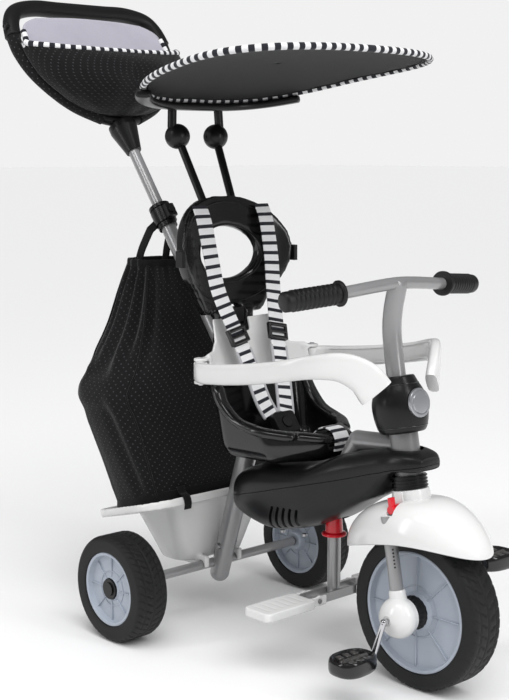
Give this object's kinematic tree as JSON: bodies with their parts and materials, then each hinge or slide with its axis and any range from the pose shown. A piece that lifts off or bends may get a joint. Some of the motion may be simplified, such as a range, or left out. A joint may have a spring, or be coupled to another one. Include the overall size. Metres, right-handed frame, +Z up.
{
  "type": "push tricycle",
  "caption": "Children's tricycle with telescopic push handle, sun canopy, harness seat with safety ring, fold-up footrest and rear storage bag",
  "frame": {"origin": "on the floor, under the centre of the whole tricycle's bounding box", "axes": "+X forward, +Y to the rider's left, +Z up"},
  "size_m": [0.9811, 0.48, 1.0551],
  "materials": {
    "silver_paint": "satin silver paint",
    "chrome_steel": "polished",
    "zinc_steel": "plated",
    "black_plastic": "semi-gloss moulded",
    "white_plastic": "gloss moulded",
    "red_plastic": "gloss moulded",
    "badge_silver": "silver finish",
    "tyre_rubber": "matte charcoal",
    "rim_plastic": "satin light grey",
    "grip_rubber": "ribbed",
    "dotted_fabric": "black woven with small dots",
    "strap_fabric": "striped webbing",
    "canopy_fabric": "charcoal woven with striped piping"
  },
  "bodies": {
    "frame": {"rear_frame_tube": "silver_paint", "top_frame_tube": "silver_paint", "head_tube": "silver_paint", "collar_ring": "black_plastic", "rear_axle_tube": "silver_paint", "rear_axle": "zinc_steel", "axle_caps": "black_plastic", "storage_tray": "white_plastic", "storage_bag": "dotted_fabric", "bag_straps": "dotted_fabric", "upper_body_cover": "black_plastic", "lower_body_cover": "black_plastic", "frame_screws": "zinc_steel", "seat_bucket": "black_plastic", "seat_back_shell": "white_plastic", "headrest": "black_plastic", "belt_anchors": "black_plastic", "shoulder_straps": "strap_fabric", "strap_adjusters": "black_plastic", "buckle": "black_plastic", "crotch_strap": "strap_fabric", "arm_pivot_pins": "chrome_steel", "footrest_post": "silver_paint", "footrest_bracket": "silver_paint", "lower_push_pole": "silver_paint", "pole_clamp": "black_plastic", "canopy_poles": "black_plastic"},
    "headrest_latch": {"headrest_latch": "black_plastic"},
    "buckle_button": {"buckle_button": "black_plastic"},
    "release_collar": {"release_collar": "red_plastic"},
    "clamp_button": {"clamp_button": "black_plastic"},
    "right_arm": {"right_arm": "white_plastic"},
    "left_arm": {"left_arm": "white_plastic"},
    "right_foot_plate": {"right_foot_plate": "white_plastic"},
    "left_foot_plate": {"left_foot_plate": "white_plastic"},
    "push_handle": {"upper_push_pole": "silver_paint", "handle_cone": "black_plastic", "handle_frame": "black_plastic", "handle_grip": "grip_rubber", "handle_pouch": "dotted_fabric"},
    "canopy": {"canopy_arms": "black_plastic", "canopy_bracket": "black_plastic", "canopy_top": "canopy_fabric"},
    "steering": {"handlebar": "silver_paint", "handlebar_grips": "grip_rubber", "steering_cover": "black_plastic", "steering_badge": "badge_silver", "fork": "silver_paint", "front_fender": "white_plastic", "hub_covers": "white_plastic"},
    "steering_lock": {"steering_lock_lever": "red_plastic"},
    "front_wheel": {"front_tyre": "tyre_rubber", "front_rim": "rim_plastic"},
    "crankset": {"crankset": "chrome_steel"},
    "right_pedal": {"right_pedal": "black_plastic"},
    "left_pedal": {"left_pedal": "black_plastic"},
    "right_rear_wheel": {"right_rear_tyre": "tyre_rubber", "right_rear_rim": "rim_plastic"},
    "left_rear_wheel": {"left_rear_tyre": "tyre_rubber", "left_rear_rim": "rim_plastic"}
  },
  "joints": [
    {"name": "steering_hinge", "type": "hinge", "parent": "frame", "child": "steering", "pos_m": [0.37335, 0, 0.117], "axis": [-0.1874, 0, 0.9823], "range_deg": [-40, 40]},
    {"name": "front_wheel_spin", "type": "hinge", "parent": "steering", "child": "front_wheel", "pos_m": [0.37335, 0, 0.117], "axis": [0, 1, 0], "continuous": true},
    {"name": "crank_spin", "type": "hinge", "parent": "steering", "child": "crankset", "pos_m": [0.37335, 0, 0.117], "axis": [0, 1, 0], "continuous": true},
    {"name": "right_pedal_spin", "type": "hinge", "parent": "crankset", "child": "right_pedal", "pos_m": [0.35727, -0.1345, 0.0644], "axis": [0, 1, 0], "continuous": true},
    {"name": "left_pedal_spin", "type": "hinge", "parent": "crankset", "child": "left_pedal", "pos_m": [0.38943, 0.1345, 0.1696], "axis": [0, 1, 0], "continuous": true},
    {"name": "right_rear_wheel_spin", "type": "hinge", "parent": "frame", "child": "right_rear_wheel", "pos_m": [-0.09265, -0.2105, 0.087], "axis": [0, 1, 0], "continuous": true},
    {"name": "left_rear_wheel_spin", "type": "hinge", "parent": "frame", "child": "left_rear_wheel", "pos_m": [-0.09265, 0.2105, 0.087], "axis": [0, 1, 0], "continuous": true},
    {"name": "steering_lock_slide", "type": "slide", "parent": "steering", "child": "steering_lock", "axis": [-0.1874, 0, 0.9823], "range_m": [0, 0.008]},
    {"name": "left_arm_hinge", "type": "hinge", "parent": "frame", "child": "left_arm", "pos_m": [0.00735, 0.124, 0.444], "axis": [0, 0, 1], "range_deg": [0, 75]},
    {"name": "right_arm_hinge", "type": "hinge", "parent": "frame", "child": "right_arm", "pos_m": [0.00735, -0.124, 0.444], "axis": [0, 0, -1], "range_deg": [0, 75]},
    {"name": "left_foot_plate_fold", "type": "hinge", "parent": "frame", "child": "left_foot_plate", "pos_m": [0.18335, 0.05, 0.097], "axis": [1, 0, 0], "range_deg": [0, 60]},
    {"name": "right_foot_plate_fold", "type": "hinge", "parent": "frame", "child": "right_foot_plate", "pos_m": [0.18335, -0.05, 0.097], "axis": [-1, 0, 0], "range_deg": [0, 60]},
    {"name": "push_handle_slide", "type": "slide", "parent": "frame", "child": "push_handle", "axis": [-0.5907, 0, 0.8069], "range_m": [-0.045, 0.11]},
    {"name": "canopy_tilt", "type": "hinge", "parent": "frame", "child": "canopy", "pos_m": [-0.14565, 0, 0.812], "axis": [0, 1, 0], "range_deg": [-30, 40]},
    {"name": "release_collar_slide", "type": "slide", "parent": "frame", "child": "release_collar", "axis": [0, 0, -1], "range_m": [0, 0.01], "stiffness_N_per_m": 300, "springref_m": -0.002},
    {"name": "clamp_button_press", "type": "slide", "parent": "frame", "child": "clamp_button", "axis": [-0.8069, 0, -0.5907], "range_m": [0, 0.002], "stiffness_N_per_m": 500, "springref_m": -0.002},
    {"name": "buckle_button_press", "type": "slide", "parent": "frame", "child": "buckle_button", "axis": [-0.8191, 0, -0.5736], "range_m": [0, 0.003], "stiffness_N_per_m": 500, "springref_m": -0.002},
    {"name": "headrest_latch_press", "type": "slide", "parent": "frame", "child": "headrest_latch", "axis": [-1, 0, 0], "range_m": [0, 0.004], "stiffness_N_per_m": 500, "springref_m": -0.002}
  ],
  "couplings": [
    {"joint": "crank_spin", "follows": "front_wheel_spin", "ratio": 1}
  ]
}
